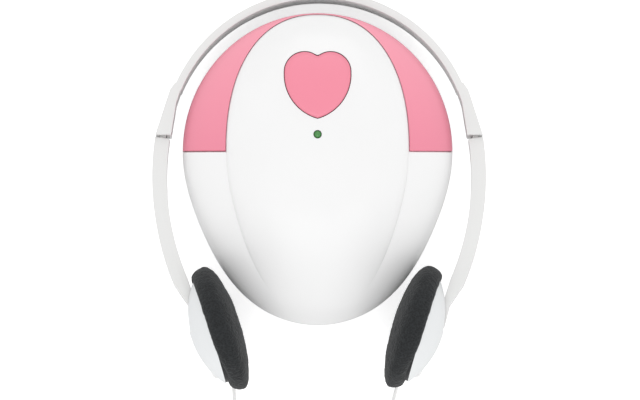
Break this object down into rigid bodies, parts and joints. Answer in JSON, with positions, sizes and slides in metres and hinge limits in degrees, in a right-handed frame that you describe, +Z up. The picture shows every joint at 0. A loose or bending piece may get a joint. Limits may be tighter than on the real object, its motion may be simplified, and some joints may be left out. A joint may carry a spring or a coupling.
{
  "type": "fetal doppler monitor",
  "caption": "Hand-held fetal heartbeat monitor in white and pink plastic resting on its probe face, with a stereo headset laid flat round it, its lead coiled and tied.",
  "frame": {"origin": "centre of the probe's flat round face, which stands on the surface", "axes": "+Z up away from the probe face, +Y from the monitor's chin to its nose and the headband's crown, +X to the side of the volume wheel"},
  "size_m": [0.131, 0.2748, 0.0496],
  "materials": {
    "white_shell": "glossy moulded plastic",
    "white_base": "fine matte moulded plastic",
    "pink_collar": "glossy moulded plastic",
    "pink_heart": "soft satin moulded plastic",
    "black_switch": "matte",
    "green_lens": "glossy tinted lens",
    "green_board": "satin lacquer",
    "chip_black": "matte",
    "cell_sleeve": "printed sleeve",
    "spring_steel": "nickel plated",
    "probe_metal": "satin",
    "probe_window": "smooth satin",
    "crystal": "silvered ceramic",
    "backing": "filled resin",
    "red_wire": "insulated wire",
    "white_wheel": "fine ribs",
    "steel": "bright",
    "potentiometer": "matte",
    "white_band": "smooth moulded plastic",
    "white_cup": "smooth moulded plastic",
    "black_baffle": "matte",
    "driver_grey": "satin",
    "charcoal_foam": "open-cell foam",
    "white_cord": "soft satin jacket",
    "white_fitting": "satin moulded plastic",
    "tape": "thin tape",
    "plated_contact": "nickel plated"
  },
  "bodies": {
    "monitor": {"top_shell": "white_shell", "pink_collar": "pink_collar", "bottom_shell": "white_base", "push_switch": "black_switch", "status_light": "green_lens", "light_holder": "black_switch", "circuit_board": "green_board", "board_parts": "chip_black", "battery_upper": "cell_sleeve", "battery_lower": "cell_sleeve", "battery_contacts": "spring_steel", "probe_ring": "probe_metal", "probe_window": "probe_window", "crystals": "crystal", "acoustic_backing": "backing", "probe_wires": "red_wire", "headphone_socket": "black_switch", "potentiometer": "potentiometer", "shell_screws": "steel", "board_screws": "steel"},
    "heart_button": {"heart_button": "pink_heart", "switch_plunger": "black_switch"},
    "battery_door": {"battery_door": "white_base"},
    "volume_wheel": {"volume_wheel": "white_wheel", "volume_shaft": "steel"},
    "headset": {"headband": "white_band", "leg_left": "white_cord", "leg_right": "white_cord", "cord_splitter": "white_fitting", "main_lead": "white_cord", "lead_coil": "white_cord", "coil_tie": "tape", "lead_tail": "white_cord", "plug_body": "white_fitting", "plug_contacts": "plated_contact"},
    "arm_left": {"arm_left": "white_band"},
    "arm_right": {"arm_right": "white_band"},
    "cup_left": {"cup_left": "white_cup", "baffle_left": "black_baffle", "driver_left": "driver_grey", "foam_left": "charcoal_foam", "pivot_pin_left": "steel", "boot_left": "white_cord"},
    "cup_right": {"cup_right": "white_cup", "baffle_right": "black_baffle", "driver_right": "driver_grey", "foam_right": "charcoal_foam", "pivot_pin_right": "steel", "boot_right": "white_cord"}
  },
  "joints": [
    {"name": "heart_press", "type": "slide", "parent": "monitor", "child": "heart_button", "axis": [0, 0, -1], "range_m": [0, 0.0008], "stiffness_N_per_m": 1500, "springref_m": -0.0005},
    {"name": "door_slide", "type": "slide", "parent": "monitor", "child": "battery_door", "axis": [0, -1, 0], "range_m": [0, 0.035]},
    {"name": "volume_turn", "type": "hinge", "parent": "monitor", "child": "volume_wheel", "pos_m": [0.0437, -0.0052, 0.0077], "axis": [0, 0, 1], "range_deg": [-135, 135]},
    {"name": "headset_lift", "type": "slide", "parent": "monitor", "child": "headset", "axis": [0, 0, 1], "range_m": [0, 0.06]},
    {"name": "arm_left_extend", "type": "slide", "parent": "headset", "child": "arm_left", "axis": [-0.2656, -0.9557, 0.1266], "range_m": [0, 0.012], "deforming": ["leg_left"]},
    {"name": "arm_right_extend", "type": "slide", "parent": "headset", "child": "arm_right", "axis": [0.2656, -0.9557, 0.1266], "range_m": [0, 0.012], "deforming": ["leg_right"]},
    {"name": "cup_left_tilt", "type": "hinge", "parent": "arm_left", "child": "cup_left", "pos_m": [-0.04673, -0.07244, 0.02413], "axis": [0, -0.1314, -0.9913], "range_deg": [0, 10], "deforming": ["leg_left"]},
    {"name": "cup_right_tilt", "type": "hinge", "parent": "arm_right", "child": "cup_right", "pos_m": [0.04793, -0.07244, 0.02413], "axis": [0, 0.1314, 0.9913], "range_deg": [0, 10], "deforming": ["leg_right"]}
  ]
}
